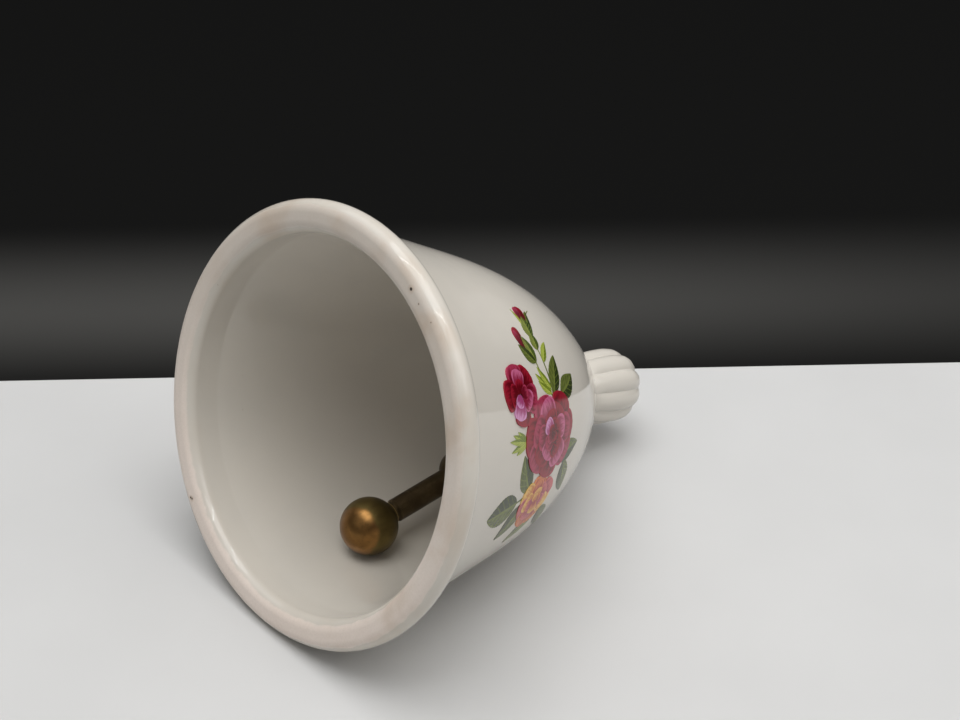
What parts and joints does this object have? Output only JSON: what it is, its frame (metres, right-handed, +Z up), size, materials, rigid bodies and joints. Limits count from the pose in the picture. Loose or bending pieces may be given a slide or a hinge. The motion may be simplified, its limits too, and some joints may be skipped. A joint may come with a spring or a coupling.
{
  "type": "table bell",
  "caption": "Porcelain table bell with a fluted knob and a turned brass clapper hung from a link, lying on its side.",
  "frame": {"origin": "on the table, under the middle of the lying bell's bounding box", "axes": "+Z up from the table; the bell's axis lies in the XZ plane, mouth towards -X and knob towards +X, sloping down to the knob"},
  "size_m": [0.1042, 0.088, 0.0833],
  "materials": {
    "porcelain": "clear gloss glaze over warm white porcelain, printed roses, unglazed stained lip",
    "knob_porcelain": "clear gloss glaze",
    "bedding_plaster": "matt plaster",
    "plug_plaster": "matt cream plaster",
    "bush_brass": "dull brass",
    "fibre": "vulcanised fibre",
    "pin_brass": "tarnished brass",
    "nut_brass": "dull brass",
    "link_brass": "tarnished brass wire",
    "rod_bronze": "dark tarnished bronze",
    "ball_bronze": "worn bronze with brown patina"
  },
  "bodies": {
    "porcelain": {"bell_body": "porcelain", "handle_knob": "knob_porcelain", "neck_bed": "bedding_plaster", "end_plug": "plug_plaster", "crown_bush": "bush_brass", "thrust_washer": "fibre"},
    "hanger": {"hanger_pin": "pin_brass", "pin_nut": "nut_brass"},
    "link": {"hanger_link": "link_brass"},
    "clapper": {"clapper_rod": "rod_bronze", "clapper_ball": "ball_bronze"}
  },
  "joints": [
    {"name": "hanger_swivel", "type": "hinge", "parent": "porcelain", "child": "hanger", "pos_m": [0.01746, 0, 0.02296], "axis": [0.9435, 0, -0.3315], "continuous": true},
    {"name": "link_swing", "type": "hinge", "parent": "hanger", "child": "link", "pos_m": [0.01746, 0, 0.02296], "axis": [0, 1, 0], "range_deg": [0, 218.7]},
    {"name": "clapper_swing", "type": "hinge", "parent": "link", "child": "clapper", "pos_m": [0.01746, 0, 0.01196], "axis": [0, 1, 0], "range_deg": [-174.4, 0]}
  ],
  "couplings": [
    {"joint": "link_swing", "follows": "clapper_swing", "ratio": -1.254}
  ]
}
